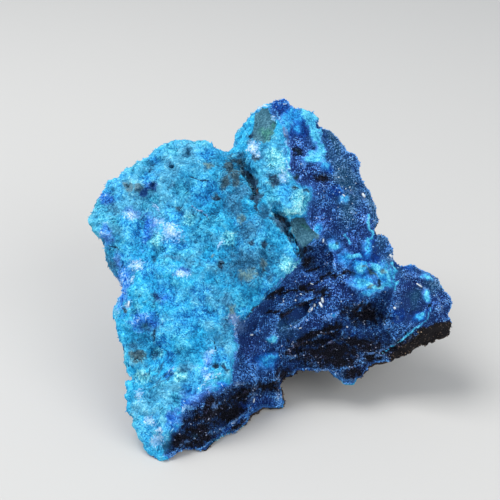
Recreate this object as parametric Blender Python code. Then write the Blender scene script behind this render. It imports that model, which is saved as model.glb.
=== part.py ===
"""Azurite specimen: one natural block that leans back on its own feet.

The block is laid out in the plane of its broad light-blue face. A corner on the face side is
face(across, up, out): millimetres across the face, up its slope and out of it. A corner of the hidden
sides is ground(x, y, z): millimetres over the ground. Convex lumps between such corners are fused and
hollows are carved out of them. The skin is roughened, then clefts, grooves and pits are cut into it,
and crystals are set into the dark crust.
"""

import math
import random

import bmesh
import bpy
import numpy as np
from mathutils import Matrix, Vector, noise
from mathutils.bvhtree import BVHTree

MM = 0.001

LEAN = math.radians(41)  # slope of the light face over the ground
FACE_FOOT = Vector((0, -47, 6))  # where face(0, 0, 0) lies over the ground

FUSE_STEP = 0.69  # grid on which lumps and hollows are fused
BLOCK_TRIANGLES = 7900  # kept in the block before the crystals are set
SLIVER = 0.02  # edges shorter than this are melted away
GROUND = 0.0  # height of the plane to which the feet are worn flat

SWELL = (0.9, 14.0)  # height and width of the broad swells
RIPPLE = (0.5, 6.1)  # share of that height, and width, of the smaller swells on top of them
KNOBS = (2.6, 5.4)  # height and width of the rounded knobs of the dark crust
KNOB_FOOT = 0.45  # distance from a knob's middle, in knob widths, at which it neither rises nor sinks
LIGHT_KNOBS = 0.35  # share of the knobs' height on the light face
CRUST_DEPTH = 7.0  # how far past the edge of the light face, or under it, the dark crust begins
CRUST_EDGE = 3.0  # width of the band between the two
PLATES = (0.5, 7.5)  # thickness and width of the thin plates that flake off the light face
PLATE_RIM = 7.0  # steepness of their rims
STRATA = (0.45, 4.2)  # depth and thickness of the layers that show on broken sides
STRATA_WAVE = (0.4, 11.0)  # how far the layers wave, in layers, and over what width
STRATA_PATCH = (2.5, 9.0)  # sharpness and width of the patches in which they are worn free

PIT_DEPTH = 1.8  # depth of a pit as a share of half its width
ABOVE = 30  # height over the light face from which the skin under a pit's mouth is looked for

DRUSE_SPOTS = 12  # faces of the skin around the middle of a druse on which its crystals may stand
DRUSE_CRYSTALS = 3
CRYSTAL_WIDTH = (1.0, 1.6)
CRYSTAL_HEIGHT = (0.5, 1.1)  # how far a crystal stands out of the skin
CRYSTAL_ROOT = 1.1  # how far it reaches into the block
CRYSTAL_DEPTH = (0.5, 0.8)  # thickness as a share of the width
CRYSTAL_TILT = 0.45  # sideways lean as a share of its direction out of the skin
CRYSTAL_APART = 2.1  # least distance between two crystals of a druse
CHISEL = (0.8, 0.55, 0.6)  # width at the root, height of the shoulders, width of the edge on top
SEED = 11


def face(across, up, out):
    """A point given in the plane of the light face, over the ground."""
    return FACE_FOOT + Matrix.Rotation(LEAN, 3, "X") @ Vector((across, up, out))


def ground(x, y, z):
    return Vector((x, y, z))


LUMPS = {
    "heart": [
        face(-27, 60, -3), face(0, 64, -3), face(14, 66, -5), face(24, 60, -7), face(26, 46, -9),
        face(14, 44, -7), face(7, 36, -5), face(-1, 28, -5), face(-6, 18, -4), face(-22, 16, -4),
        face(6, 24, -12), face(24, 24, -14), face(33, 30, -12), ground(-20, 14, 6), ground(0, 24, 8),
        ground(22, 18, 8),
        ground(-18, -34, 3), ground(2, -29, 4), ground(20, -8, 11),
    ],
    "upper_slab": [
        face(-34, 62, -2), face(-27, 70, -2), face(-19, 74, -1), face(-8, 73, -2.5),
        face(1, 66, -1), face(6.5, 58, 0.5), face(9, 54, 0.8), face(12.3, 45.5, 0.8),
        face(8.3, 39.5, 0.5),
        face(3.9, 35.4, 0.5), face(-1, 29.6, 0.3), face(-30, 27, -1.5), face(-32.6, 38, -3),
        face(-30, 40, -1.5), face(-20, 40, 2), face(-12, 52, 1.5),
        ground(-28, -2, 14), ground(-23, -20, 8), ground(-6, -22, 10), ground(2, 0, 14),
        ground(-24, 14, 36), ground(-2, 22, 38), ground(4, 22, 14), ground(-24, 14, 12),
    ],
    "lower_slab": [
        face(-31.5, 30, -2.5), face(-20, 34, 1), face(-2, 31, 0), face(-4, 26.5, 0), face(-3, 23.5, 0.3),
        face(-4.3, 19, 0), face(-4.3, 14, 0), face(-14, 10, 0), face(-25, 14, -1), face(-30.2, 17, -3.2),
        face(-30.4, 21, -3), face(-30, 26, -2),
        ground(-28, -10, 14), ground(-23, -28, 6), ground(-6, -29, 6), ground(-8, -16, 8),
    ],
    "left_shoulder": [
        face(-41.2, 56, -3), face(-39, 62.5, -3), face(-38, 67, -3), face(-34.2, 70.2, -3.5),
        face(-37.5, 49, -3.5), face(-34.5, 43, -3.5), face(-34, 57, 0), face(-29, 63, 0.5),
        face(-30, 50, 0.5),
        ground(-36, 0, 32), ground(-34, -10, 26), ground(-28, 8, 24), ground(-24, -16, 18),
    ],
    "hump": [
        face(-34.2, 70, -3), face(-30, 73.2, -3.5), face(-26.5, 75.6, -3.5), face(-20, 79, -3),
        face(-12, 78.2, -3.5), face(-8, 76, -4.5), face(-28, 64, 1), face(-18, 69, 1.5),
        face(-11, 66, 0.5), face(-16, 58, 1),
        ground(-30, 8, 44), ground(-26, 18, 40), ground(-10, 22, 44), ground(-22, 10, 26),
        ground(-4, 18, 30),
    ],
    "left_nub": [
        face(-32.8, 29.5, -4), face(-32.4, 34, -4), face(-31, 24, -3.5), face(-31, 38, -2),
        face(-27, 30, -0.5), ground(-29, -18, 12), ground(-27, -26, 10), ground(-22, -14, 20),
    ],
    "left_toe": [
        face(-30.4, 11, -4), face(-30.2, 8, -4.5), face(-28.5, 6.5, -4.5), face(-29, 13, -3.5),
        face(-26, 10, -1), face(-24, 14, -1), face(-31.2, 15.5, -3.8), ground(-26, -38, 3),
        ground(-22, -34, 3), ground(-22, -40, 5),
    ],
    "peak": [
        face(-4.5, 77.5, -4), face(-1.6, 80.3, -3.5), face(0.6, 86.8, -3.5), face(2.5, 89, -3),
        face(6.7, 90.6, -2.5),
        face(10.7, 89.2, -2.5), face(13.5, 87.5, -3), face(0, 71, 0), face(3, 66, 2.5), face(6, 78, 1.5),
        face(13, 64, 2.5), face(16, 74, 0.5),
        ground(-4, 22, 50), ground(2, 28, 54), ground(12, 28, 55), ground(-4, 28, 30),
        ground(16, 30, 34),
        ground(4, 10, 30),
    ],
    "saddle": [
        face(-10, 76.6, -4.5), face(-6.6, 75.9, -5), face(-3.5, 77.2, -5), face(-9, 72, -1.5),
        face(-3.5, 72, -1.5), ground(-8, 20, 42), ground(-2, 24, 44), ground(-6, 6, 30),
        ground(0, 16, 30),
    ],
    "peak_shoulder": [
        face(13, 87.6, -3.5), face(17.2, 87.4, -3.5), face(20, 85.2, -4), face(21.4, 80.8, -4.5),
        face(25.8, 78.6, -5), face(8, 80, 0), face(16, 76, 0), face(19, 68, 0.5), face(12, 66, 1),
        ground(16, 26, 52), ground(24, 22, 46), ground(22, 28, 34), ground(10, 24, 34),
        ground(22, 6, 34),
    ],
    "light_tongue": [
        face(0, 70, 1), face(3.5, 64, 3), face(4, 59, 2.5), face(8.8, 55, 2), face(13.5, 55, 2),
        face(14.5, 62, 2.5), face(11, 69, 2.5), face(6, 74, 2), face(4, 60, -8), face(12, 60, -8),
        face(2, 72, -8),
    ],
    "dark_shoulder": [
        face(25.8, 78.2, -5), face(27.4, 76, -5), face(28.8, 71.6, -5), face(29.2, 67.4, -5.5),
        face(31.9, 65.4, -5.5), face(33, 62.9, -5.5), face(33, 59, -6), face(31.2, 55.4, -6.5),
        face(19, 70, 0), face(13, 66, 0), face(14, 55, -0.5), face(20, 47, -3), face(28, 48, -4),
        face(26, 60, -1),
        ground(31, 4, 36), ground(28, 16, 40), ground(30, 0, 18), ground(26, 26, 26), ground(14, 4, 12),
    ],
    "facet": [
        face(9.5, 57, -1), face(14.5, 57, -0.6), face(19.5, 51, -1.6), face(13, 47, -1.8),
        face(11, 50, -1.8), face(10, 54, -9), face(13, 48, -9), face(18, 50, -9),
    ],
    "arm_root": [
        face(33, 54.6, -6.5), face(36, 52.8, -6), face(37.2, 50.8, -6), face(38, 47, -6),
        face(20, 49, -3),
        face(26, 50, -3), face(31, 44, -1.5), face(33, 37, -2), face(27, 36.5, -2.5), face(21, 42, -3),
        ground(34, 0, 24), ground(28, 12, 24), ground(34, -10, 14), ground(16, -10, 14),
        ground(20, 14, 10),
    ],
    "arm_knob": [
        face(38, 45.6, -6), face(40.6, 45.2, -5), face(43, 42.4, -5), face(48, 43.4, -5),
        face(49.4, 39.6, -5), face(50.2, 33, -5), face(50.8, 29.8, -6), face(49, 27, -8),
        face(37, 42, -1), face(43, 40, 0), face(46.5, 35.5, -0.5), face(47, 30, -2), face(40, 28, -2),
        face(34.5, 36, -2), face(36, 30, -4), face(38, 24, -6),
        ground(42, -4, 24), ground(45, -10, 18), ground(40, -22, 13), ground(34, -4, 14),
        ground(32, -18, 12),
    ],
    "arm_under": [
        face(46.8, 26.4, -9.5), face(43.6, 26.2, -11), face(42, 23.8, -11), face(39.6, 23.2, -11.5),
        face(37.5, 21.8, -12), face(35.3, 20.6, -12), face(36, 26, -8), face(44, 29, -8),
        ground(32, -18, 14), ground(42, -12, 16), ground(36, -8, 18),
    ],
    "upper_terrace": [
        face(12, 44, -4), face(4, 36, -4), face(-1, 30, -4), face(-2.5, 23, -4.5),
        face(20, 42, -4.5), face(28, 38, -5), face(29, 34, -6), face(22, 33, -8), face(10, 31, -7),
        face(3, 27, -8), ground(4, -20, 12), ground(24, -14, 14), ground(18, -4, 20),
    ],
    "blue_ridge": [
        face(3, 25, -6.5), face(8, 28.5, -5.5), face(15, 31.5, -5.5), face(21.5, 33.3, -6.5),
        face(24, 31.5, -8.5), face(15, 27, -7.5), face(8, 23.5, -8),
        ground(6, -22, 8), ground(24, -18, 12), ground(14, -12, 16), ground(20, -20, 16),
    ],
    "cliff": [
        face(-4, 24, -2), face(4, 24.5, -6), face(8, 20, -8.5), face(7.5, 15.5, -9.5),
        face(-1, 14, -4.5),
        face(-4, 13, -2.5), ground(-3, -33, 3), ground(4, -29, 3), ground(8, -26, 4), ground(-2, -22, 3),
        ground(10, -18, 8), ground(-8, -36, 4),
    ],
    "lower_ledge": [
        face(8, 21, -10), face(18, 25, -10.5), face(28, 28, -10), face(36, 24, -9), face(37, 20.5, -10),
        face(30, 18.6, -12.5), face(17, 18.2, -11.5), face(9, 16.6, -10.5), face(22, 17.6, -12.5),
        ground(10, -22, 8), ground(28, -18, 9), ground(36, -14, 14), ground(14, -8, 12),
        ground(30, -4, 12),
    ],
    "right_lump": [
        ground(22, -26, 8), ground(26, -28, 7), ground(30.5, -26, 9), ground(30, -20, 7),
        ground(25, -20, 5.5), ground(29.5, -26.5, 13), ground(24, -28, 12.5), ground(20, -22, 13),
        ground(28, -17, 13),
    ],
    "front_lump": [
        ground(3, -29.5, 0), ground(3, -30, 5), ground(7, -31, 1), ground(7.5, -31, 6),
        ground(9, -28.5, 1),
        ground(9, -28, 7), ground(8, -25, 0), ground(3, -26, -0.5), ground(6, -29.3, -0.6),
        ground(6, -25, 8),
    ],
    "front_foot": [
        face(-29, 9.5, -4), face(-28.3, 13, -3.5), face(-27, 6, -3.5), face(-25.4, 0.5, -4),
        face(-24, -4.3, -4.6), face(-21, 8, 0), face(-20.5, 2, -0.5), face(-16, 5, -0.5),
        face(-14, 11, 0),
        face(-5, 13.5, -1), face(-26, 18, -1),
        ground(-22.8, -48, -0.6), ground(-19.8, -49.2, -0.4), ground(-15, -46, -0.6),
        ground(-24, -40, -0.5), ground(-13, -35, -0.3), ground(-2, -30, 2), ground(-25, -26, 6),
        ground(-3, -34, 8), ground(-8, -38, 5),
    ],
    "front_rim": [
        ground(-18, -48, -0.6), ground(-10.7, -44.2, -0.6), ground(-3, -37.4, 0), ground(3, -31.5, 0.2),
        ground(-17, -47, 3.4), ground(-10, -43, 4), ground(-2.5, -36.5, 4.4), ground(3, -30.7, 4.5),
        ground(-8, -34, -0.5), ground(2, -25, 0), ground(-6, -32, 5),
    ],
    "back_wall": [
        ground(-22, 18, 40), ground(-10, 25, 43), ground(4, 30, 44), ground(18, 30, 42),
        ground(28, 20, 34),
        ground(-27, 12, 20), ground(-20, 24, 14), ground(0, 31, 16), ground(22, 26, 12),
        ground(30, 14, 14),
        ground(-24, 10, 3), ground(-16, 22, 2.5), ground(2, 27, 2), ground(22, 22, 2.5),
        ground(27, 8, 4),
        ground(-22, -12, 4), ground(16, -6, 6),
    ],
    "back_rib": [
        ground(-16, 25, 44), ground(-8, 27, 46), ground(-4, 31, 36), ground(-8, 35, 24),
        ground(-12, 33, 12),
        ground(-14, 30, 8), ground(-2, 30, 10), ground(0, 28, 30), ground(-18, 24, 24),
        ground(-10, 14, 24),
    ],
    "back_boss": [
        ground(12, 30, 40), ground(20, 31, 38), ground(25, 27, 30), ground(22, 32, 24),
        ground(14, 34, 26),
        ground(17, 33, 18), ground(9, 30, 30), ground(18, 14, 28), ground(27, 20, 22),
    ],
    "left_flank": [
        ground(-33, 2, 34), ground(-31, 8, 26), ground(-31, -4, 20), ground(-29, 4, 12),
        ground(-30, 14, 30),
        ground(-24, 18, 34), ground(-18, 4, 20), ground(-20, -10, 14),
    ],
    "back_foot_left": [
        ground(-27, 8, 16), ground(-29, 16, 13), ground(-20, 26, 10), ground(-26, 7, 3),
        ground(-22, 10, -1),
        ground(-11, 8, -1), ground(-12, 24, -1), ground(-20, 22, -1), ground(-27, 16, 2),
        ground(-8, 16, 12),
    ],
    "back_foot_right": [
        ground(14, 8, 14), ground(31, 6, 14), ground(27, 25, 12), ground(12, 26, 12),
        ground(17, 2, -0.8),
        ground(27, 5, -1), ground(30, 8, 3), ground(24, 22, -1), ground(12, 20, -1), ground(29, 16, 3),
    ],
}

HOLLOWS = {
    "valley": [
        face(-8.5, 73, 3), face(-4, 74, 3), face(-8.5, 60, 3.5), face(-3.2, 62, 3.5),
        face(-6.5, 72, -1.2),
        face(-5.5, 68, -2.4), face(-6.5, 61.5, 0.5),
    ],
    "pocket": [
        face(22, 35.5, 0), face(29, 36, 0), face(35, 34.5, 0), face(37, 30, 0), face(33, 26, 0),
        face(24, 28.5, 0), face(27, 33.5, -8), face(32.5, 32.5, -7.5), face(33, 29, -8), face(27, 30, -8.8),
    ],
    "cliff_scoop": [
        ground(-19, -50, 4.5), ground(-8, -46, 5), ground(4, -37, 5.5), ground(-17, -48, 7),
        ground(-6, -42, 9), ground(3, -35, 9), ground(-13, -43, 5), ground(-5, -38, 6.5),
        ground(2, -32.5, 7),
    ],
    "back_scoop": [
        ground(2, 38, 34), ground(8, 38, 32), ground(9, 38, 14), ground(0, 38, 12), ground(4, 27.5, 28),
        ground(4, 28.5, 18), ground(-2, 34, 20), ground(10, 33, 24),
    ],
    "flank_scoop": [
        ground(-34, -18, 16), ground(-36, -6, 14), ground(-34, 6, 8), ground(-30, -20, 4),
        ground(-34, 0, 2),
        ground(-24.5, -12, 9), ground(-25, -2, 8), ground(-28, 8, 5),
    ],
    "arch": [
        ground(9.6, -40, 11), ground(21, -40, 11.6), ground(10.2, -40, -2), ground(22, -40, -2),
        ground(12, -20, 9), ground(20, -20, 9.5), ground(12, -16, -2), ground(22, -16, -2),
    ],
}

CUTS = {  # narrow clefts and grooves, cut into the roughened skin
    "slot": [
        face(-4, 72.4, 5), face(-1.2, 71.6, 5), face(-1.8, 66.4, 5), face(1.9, 66, 5), face(0.2, 60, 5),
        face(2.8, 59.6, 5), face(-2.6, 70.4, -4.5), face(-1, 70, -4.5), face(0, 65, -5.5),
        face(1, 65, -5.5), face(1.4, 61, -3.5),
    ],
    "crease_head": [
        face(4.2, 58.6, 5), face(7.9, 59, 5), face(9.4, 54, 5), face(6.6, 53.6, 5), face(6, 57.6, -3.5),
        face(8.4, 54.5, -4.5), face(6.8, 57.6, -3.5),
    ],
    "crease": [
        face(7, 55, 4), face(9.6, 55.4, 4), face(10.4, 50.6, 4), face(13.6, 44.4, 4), face(12.4, 44.4, 4),
        face(8.4, 54.6, -4.5), face(9.4, 54.6, -4.5), face(12.9, 45, -5), face(10.2, 50, -5),
    ],
    "under_facet": [
        face(12.2, 47.4, 0), face(18.6, 50.4, 0), face(19, 47, -1), face(13.4, 44.4, 0),
        face(13, 46.6, -6.6), face(17.6, 48.6, -6.2),
    ],
    "upper_groove": [
        face(5, 26.6, -1), face(6.4, 30.4, -1), face(12, 34.8, -1), face(22, 38, -2), face(22.6, 36, -2),
        face(14, 31.8, -1), face(7.6, 27.6, -1), face(7.2, 28.8, -6.6), face(12.6, 32.8, -7.6),
        face(21, 36.6, -6),
    ],
    "lower_groove": [
        face(9, 20.6, -5), face(10.4, 24.4, -5), face(18, 27.8, -5), face(27, 31, -6), face(28, 28.8, -6),
        face(17.6, 24, -5), face(11, 22.6, -10.6), face(18, 25.8, -11.4), face(25, 28.8, -10.6),
    ],
}

PITS = [  # (across, up, width): where each pit opens in the light face
    (-31.3, 64.3, 2.0), (-28.3, 62.6, 1.5), (-26.4, 61, 1.6), (-24.9, 64.6, 1.9), (-26, 69, 1.7),
    (-20.5, 69.6, 2.1), (12.1, 73.8, 2), (-18.2, 58, 1.5), (-8.6, 61.6, 1.9), (-6.9, 42.9, 1.7),
    (5.9, 65.1, 2), (31.5, 39, 1.8), (-10, 18, 1.8), (-6.8, 17.5, 1.8), (-16, 74, 1.9), (-23.2, 34.4, 1.8),
]

LIGHT_EDGE = [  # (up, across) along the line where the light face gives way to the dark crust
    (-5, -19.7), (1.2, -19.4), (3.5, -16.4), (8.9, -15.3), (11.1, -10.6), (13.5, -4.3), (19.7, -4.3),
    (22.7, -2.9), (26.4, -4.3), (29.4, -0.7), (35.2, 3.7), (39, 8.1), (44.7, 12), (55.6, 13.8),
    (60.2, 14.4), (64.3, 15.8), (65.7, 12.7), (69.9, 10.2), (76.9, 9), (81.2, 7.8), (87.6, 5.2),
]

DRUSES = [  # middles of the small druses on the dark crust
    face(16.8, 33, -6), face(5, 24, -5), face(13, 28, -7), face(27, 23, -10), face(40, 31, -2),
    face(30, 41, -2), face(24, 60, -1), face(17, 80, -1.5), face(-12, 7, -4), face(-1, 13, -6),
    ground(30, -25, 10), ground(46, -14, 22), ground(31, 12, 28), ground(-8, 34, 24), ground(20, 32, 30),
]


def hull(name, corners):
    """A convex lump whose flat faces span the given corners."""
    lump = bmesh.new()
    for corner in corners:
        lump.verts.new(corner)
    bmesh.ops.convex_hull(lump, input=lump.verts)
    buried = [vert for vert in lump.verts if not vert.link_faces]
    bmesh.ops.delete(lump, geom=buried, context="VERTS")
    bmesh.ops.recalc_face_normals(lump, faces=lump.faces)
    return placed(name, lump)


def pits(obj):
    """Round pits, a little deeper than they are wide, sunk where the skin lies under their mouths."""
    points = [vert.co for vert in obj.data.vertices]
    skin = BVHTree.FromPolygons(points, [spot.vertices for spot in obj.data.polygons])
    made = []
    for across, up, width in PITS:
        mouth = skin.ray_cast(face(across, up, ABOVE), face(across, up, 0) - face(across, up, ABOVE))[0]
        ball = bmesh.new()
        bmesh.ops.create_icosphere(ball, subdivisions=2, radius=width / 2)
        bmesh.ops.scale(ball, vec=(1, 1, PIT_DEPTH), verts=ball.verts)
        bmesh.ops.rotate(ball, cent=(0, 0, 0), matrix=Matrix.Rotation(LEAN, 3, "X"), verts=ball.verts)
        bmesh.ops.translate(ball, vec=mouth, verts=ball.verts)
        made.append(placed("pit", ball))
    return made


def placed(name, shape):
    """An object of the scene with the given shape; the shape itself is freed."""
    mesh = bpy.data.meshes.new(name)
    shape.to_mesh(mesh)
    shape.free()
    obj = bpy.data.objects.new(name, mesh)
    bpy.context.scene.collection.objects.link(obj)
    return obj


def joined(name, parts):
    """The parts as one object; the parts are removed."""
    shape = bmesh.new()
    for part in parts:
        shape.from_mesh(part.data)
        bpy.data.objects.remove(part)
    return placed(name, shape)


def settle(obj):
    """Applies the modifiers of obj."""
    graph = bpy.context.evaluated_depsgraph_get()
    obj.data = bpy.data.meshes.new_from_object(obj.evaluated_get(graph))
    obj.modifiers.clear()


def fuse(obj):
    """Melts overlapping lumps into one closed skin."""
    grid = obj.modifiers.new("fuse", "REMESH")
    grid.mode = "VOXEL"
    grid.voxel_size = FUSE_STEP
    settle(obj)


def combine(obj, other, operation):
    """Boolean of obj with other, which is removed."""
    step = obj.modifiers.new("combine", "BOOLEAN")
    step.operation = operation
    step.solver = "EXACT"
    step.object = other
    settle(obj)
    bpy.data.objects.remove(other)


def swell(point):
    height, width = SWELL
    share, ripple = RIPPLE
    return height * (noise.noise(point / width) + share * noise.noise(point / ripple))


def crust(point):
    """1 on the dark crust and 0 on the light face, with a narrow band between them."""
    across, up, out = Matrix.Rotation(-LEAN, 3, "X") @ (point - FACE_FOOT)
    ups, acrosses = zip(*sorted(LIGHT_EDGE))
    past = across - np.interp(up, ups, acrosses) - out - CRUST_DEPTH
    return max(0, min(1, 0.5 + past / CRUST_EDGE))


def knobs(point):
    """Rounded knobs, each the nearness of a point to the middle of its own cell."""
    height, width = KNOBS
    near, _ = noise.voronoi(point / width)
    return height * (LIGHT_KNOBS + (1 - LIGHT_KNOBS) * crust(point)) * (KNOB_FOOT - near[0])


def plates(point):
    """Low plateaus with steep rims."""
    height, width = PLATES
    return height * (1 - crust(point)) * math.tanh(PLATE_RIM * noise.noise(point / width))


def strata(point, normal):
    """Worn layers that lie parallel to the light face and show where the block broke across them."""
    depth, thickness = STRATA
    wave, wave_width = STRATA_WAVE
    sharpness, patch_width = STRATA_PATCH
    out = face(0, 0, 1) - FACE_FOOT
    across_layers = 1 - abs(normal.dot(out))
    level = (point - FACE_FOOT).dot(out) / thickness + wave * noise.noise(point / wave_width)
    worn = max(0, min(1, 0.5 + sharpness * noise.noise(point / patch_width)))
    return depth * worn * across_layers * (4 * abs(level % 1 - 0.5) - 1)


def roughen(obj):
    """Moves every point of the skin along its normal."""
    mesh = obj.data
    moved = []
    for vert in mesh.vertices:
        shift = swell(vert.co) + knobs(vert.co) + plates(vert.co) + strata(vert.co, vert.normal)
        moved.append(vert.co + vert.normal * shift)
    mesh.vertices.foreach_set("co", np.array(moved).ravel())
    mesh.update()


def crystal(rng, root, normal):
    """A four-sided prism with a chisel end, tilted a little out of the skin."""
    width = rng.uniform(*CRYSTAL_WIDTH)
    height = rng.uniform(*CRYSTAL_HEIGHT)
    depth = width * rng.uniform(*CRYSTAL_DEPTH)
    axis = (normal + CRYSTAL_TILT * Vector((rng.uniform(-1, 1) for _ in range(3)))).normalized()
    turn = axis.to_track_quat("Z", "Y").to_matrix() @ Matrix.Rotation(rng.uniform(0, math.pi), 3, "Z")
    foot, shoulder, edge = CHISEL
    corners = []
    for x in (-width / 2, width / 2):
        for y in (-depth / 2, depth / 2):
            corners += [(foot * x, foot * y, -CRYSTAL_ROOT), (x, y, shoulder * height)]
        corners.append((edge * x, 0, height))
    return hull("crystal", [root + turn @ Vector(corner) for corner in corners])


def crystals(obj):
    """Small druses on the dark crust: each a few crystals around one spot."""
    rng = random.Random(SEED)
    made = []
    for middle in DRUSES:
        near = sorted(obj.data.polygons, key=lambda spot: (spot.center - middle).length)[:DRUSE_SPOTS]
        roots = []
        while near and len(roots) < DRUSE_CRYSTALS:
            spot = near.pop(rng.randrange(len(near)))
            if all((spot.center - root).length > CRYSTAL_APART for root in roots):
                roots.append(spot.center.copy())
                made.append(crystal(rng, spot.center, spot.normal))
    return made


def thin(obj):
    """Keeps the given number of triangles, most of them where the skin turns sharply."""
    step = obj.modifiers.new("thin", "DECIMATE")
    step.ratio = BLOCK_TRIANGLES / (2 * len(obj.data.polygons))
    settle(obj)


def clean(obj):
    """Melts away the slivers that Booleans leave."""
    shape = bmesh.new()
    shape.from_mesh(obj.data)
    bmesh.ops.dissolve_degenerate(shape, dist=SLIVER, edges=shape.edges)
    shape.to_mesh(obj.data)
    shape.free()


def flatten_feet(obj):
    """Wears the lowest points flat, so that the block stands."""
    for vert in obj.data.vertices:
        vert.co.z = max(vert.co.z, GROUND)


def stand(obj):
    """Moves the block over the origin, in metres."""
    corners = np.array([vert.co for vert in obj.data.vertices])
    low, high = corners.min(axis=0), corners.max(axis=0)
    middle = Vector(((low[0] + high[0]) / 2, (low[1] + high[1]) / 2, low[2]))
    obj.data.transform(Matrix.Scale(MM, 4) @ Matrix.Translation(-middle))
    print("moved by", middle)


def stone():
    """Dark blue azurite crust."""
    material = bpy.data.materials.new("azurite")
    material.use_nodes = True
    shader = material.node_tree.nodes["Principled BSDF"]
    shader.inputs["Base Color"].default_value = (0.045, 0.25, 0.55, 1)
    shader.inputs["Roughness"].default_value = 0.8
    shader.inputs["Metallic"].default_value = 0
    return material


def main():
    for obj in list(bpy.data.objects):
        bpy.data.objects.remove(obj)
    block = joined("azurite_block", [hull(name, corners) for name, corners in LUMPS.items()])
    fuse(block)
    cutter = joined("hollows", [hull(name, corners) for name, corners in HOLLOWS.items()])
    fuse(cutter)
    combine(block, cutter, "DIFFERENCE")
    fuse(block)
    roughen(block)
    fuse(block)
    cutter = joined("cuts", [hull(name, corners) for name, corners in CUTS.items()])
    fuse(cutter)
    combine(block, cutter, "DIFFERENCE")
    combine(block, joined("pits", pits(block)), "DIFFERENCE")
    thin(block)
    clean(block)
    flatten_feet(block)
    combine(block, joined("crystals", crystals(block)), "UNION")
    stand(block)
    block.data.materials.clear()
    block.data.materials.append(stone())
    block.name = "azurite_block"


main()
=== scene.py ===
import math

import bmesh
import bpy
import numpy as np
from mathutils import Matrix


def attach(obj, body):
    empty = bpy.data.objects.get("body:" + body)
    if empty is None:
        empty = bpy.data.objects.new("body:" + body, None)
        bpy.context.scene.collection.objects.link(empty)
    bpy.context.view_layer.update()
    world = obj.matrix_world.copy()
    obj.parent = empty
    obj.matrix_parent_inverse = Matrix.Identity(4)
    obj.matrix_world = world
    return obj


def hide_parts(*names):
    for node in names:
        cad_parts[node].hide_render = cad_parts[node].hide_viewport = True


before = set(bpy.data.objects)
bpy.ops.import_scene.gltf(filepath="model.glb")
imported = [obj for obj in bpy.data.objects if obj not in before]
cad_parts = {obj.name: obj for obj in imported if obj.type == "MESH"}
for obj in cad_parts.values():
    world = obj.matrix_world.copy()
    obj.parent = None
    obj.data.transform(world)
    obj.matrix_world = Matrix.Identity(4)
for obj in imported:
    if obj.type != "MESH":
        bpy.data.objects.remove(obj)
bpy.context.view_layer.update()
print("frame loaded")

mm = 0.001
pictureSide = 500  # side of the camera's square picture, in which the markings below are placed

lightPlane = {"point": (-4.9, -40.35, 6.0), "lean": 41.0}  # mm and degrees: the plane of the light face

camera = {
    "place": (-0.0049, -0.21419, 0.1575),
    "pitch": 30.0,  # degrees below level
    "lens": 70.0,
    "sensor": 36.0,
    "near": 0.01,
}

skin = {
    "step": 0.42,  # mm, spacing of the skin's grid
    "weld": 1e-6,  # m, within which two corners of the block are one
    "triangles": 196000,  # kept by thinning the grid where it faces away from the camera
    "thinFrom": -0.1,  # cosine towards the camera under which it is thinned
    "smoothing": (0.5, 2),  # strength and rounds
    "marksFade": (-0.32, 0.3),  # cosine towards the camera at which marks start, and their fading
    "seed": 20,  # each noise adds a number of its own to it
    "lightSwells": (0.40, 4.0),  # height and width in mm
    "lightGrains": (0.38, 1.3),
    "lightCrests": (0.50, 2.2),
    "crestLevel": 0.35,
    "lightPlates": (0.26, 5.0),
    "plateSteepness": 6,
    "lightCrust": 0.5,  # how thick the light crust lies over the dark one at their line
    "fibres": 0.45,
    "darkSwells": (0.45, 6.5),
    "darkDomes": (0.95, 3.2),
    "stillDomes": 0.5,  # share by which the domes of the smooth arm are lower
    "darkBuds": (0.60, 1.3),
    "matrixTeeth": (1.1, 1.7),
    "darkInset": 0.2,  # how far the dark crust is drawn in to leave room for its crystals
    "patchLevel": 0.3,  # how far the smooth grey patches are drawn in
    "patchSmoothness": 0.85,
    "holeDepth": 0.35,
    "filled": (2.2, 2),  # share by which cracks are filled with dust, and the depth in mm that counts at most
    "fray": ((2.2, 2.4), (1.5, 1.0)),  # picture units and mm by which all marks are frayed
    "hollowSteps": 30,  # rounds of evening out, from which hollows and ridges are told apart
    "hollowShadeTone": (0.3, 2.2),  # reach and steepness of the mask that says how hollow a place is: painted shade in hollows, painted highlight on ridges
}

growth = {  # gain and shift that bring a mask, which is 0.5 on its outline, to its full share
    "full": (2, 0),
    "inner": (2, -0.5),
    "coating": (2.4, -0.5),
    "patch": (2, -0.6),
    "patchInner": (2.4, -0.8),
    "holeAndShade": (1.6, -0.5),
    "crust": (3, -1),
    "crustless": (-3, 2),
    "crustStep": (-5, 3.3),
}
lineSoftness = {"grey": 2.5, "matrix": 5, "light": 6}  # picture units over which an area's line fades

# signed areas in picture units: corners of the light face, closed far outside its free left side
lightFace = [
    (268, 90), (271, 112), (278, 119.5), (286, 139), (289, 168.5), (293, 175.5), (299, 182.5), (313, 187),
    (313, 196.5), (307.5, 202), (304.5, 217.5), (309, 226), (318, 236), (303, 248.5), (300, 257),
    (293, 271), (282, 277), (272, 292), (266.5, 299), (258, 306), (247, 318), (232, 330), (238, 345),
    (234, 357), (232, 383), (216, 390), (205, 394), (190, 402), (181, 415), (182, 425), (172, 437),
    (167, 443), (164, 480), (40, 480), (40, 150), (180, 80), (250, 80),
]

greyPatches = [
    [(255, 110.5), (268.6, 108), (273, 113), (275.5, 121), (275.5, 129), (271.5, 138.5), (262, 142),
     (254, 140), (249.5, 136), (251, 131), (254, 125)],
    [(290, 218), (304.5, 218), (310, 226), (319, 235), (308, 247), (302, 250), (297, 243), (290.5, 229)],
]

matrixZone = [
    (390, 354), (398, 347), (410, 340.5), (421, 330), (436, 324), (452, 320), (460, 326), (448, 345),
    (424, 356), (405, 366), (392, 370),
]
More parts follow.
